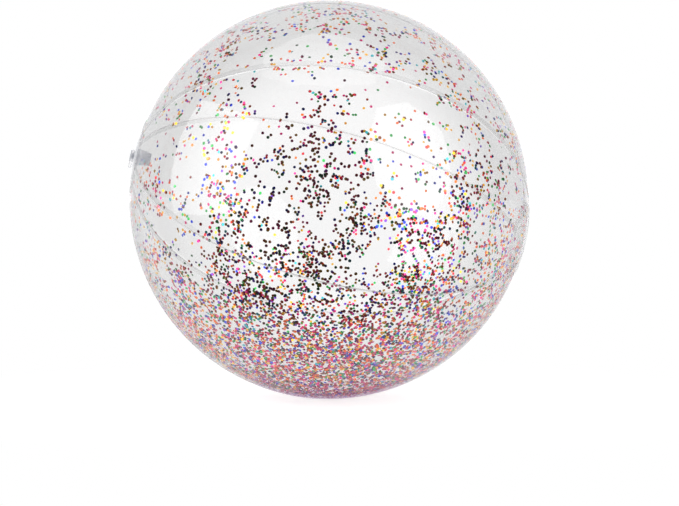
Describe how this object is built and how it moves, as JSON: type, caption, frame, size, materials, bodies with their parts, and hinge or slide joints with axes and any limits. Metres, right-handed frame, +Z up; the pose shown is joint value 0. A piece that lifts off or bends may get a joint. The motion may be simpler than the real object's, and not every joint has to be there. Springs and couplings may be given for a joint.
{
  "type": "inflatable beach ball",
  "caption": "Clear film beach ball welded from gores, with round end caps, a push-in valve with a tethered plug, and loose confetti inside.",
  "frame": {"origin": "centre of the ball", "axes": "+Z up as the ball lies; the pole axis lies in the XZ plane, with the valve pole on the -X side, 12.3 degrees above the horizontal, and the plain pole on the +X side; -Z points at the spot that the ball lies on"},
  "size_m": [0.3904, 0.388, 0.3878],
  "materials": {
    "clear_film": "clear, glossy, lightly stretched",
    "clear_patch": "clear, glossy, two layers thick",
    "soft_moulding": "milky, soft, moulded",
    "plug_moulding": "milky, soft, moulded",
    "foil_confetti": "mirror-bright coloured foil dots"
  },
  "bodies": {
    "ball": {"gore_panel_1": "clear_film", "gore_panel_2": "clear_film", "gore_panel_3": "clear_film", "gore_panel_4": "clear_film", "gore_panel_5": "clear_film", "gore_panel_6": "clear_film", "plain_end_cap": "clear_patch", "valve_end_cap": "clear_patch", "valve_flange": "soft_moulding", "valve_skirt": "soft_moulding"},
    "stem": {"valve_stem": "soft_moulding", "plug_tether": "soft_moulding"},
    "plug": {"valve_plug": "plug_moulding"},
    "flap": {"check_flap": "clear_film"},
    "glitter": {"glitter_bed": "foil_confetti"}
  },
  "joints": [
    {"name": "valve_pop_out", "type": "slide", "parent": "ball", "child": "stem", "axis": [-0.977, 0, 0.213], "range_m": [0, 0.014], "deforming": ["valve_skirt"]},
    {"name": "plug_pull", "type": "slide", "parent": "stem", "child": "plug", "axis": [-0.977, 0, 0.213], "range_m": [0, 0.01], "deforming": ["plug_tether"]},
    {"name": "flap_open", "type": "hinge", "parent": "stem", "child": "flap", "pos_m": [-0.17245, 0, 0.0421], "axis": [0, -1, 0], "range_deg": [0, 60], "stiffness_Nm_per_rad": 0.0002},
    {"name": "glitter_roll", "type": "hinge", "parent": "ball", "child": "glitter", "pos_m": [0, 0, 0], "axis": [1, 0, 0], "continuous": true}
  ]
}
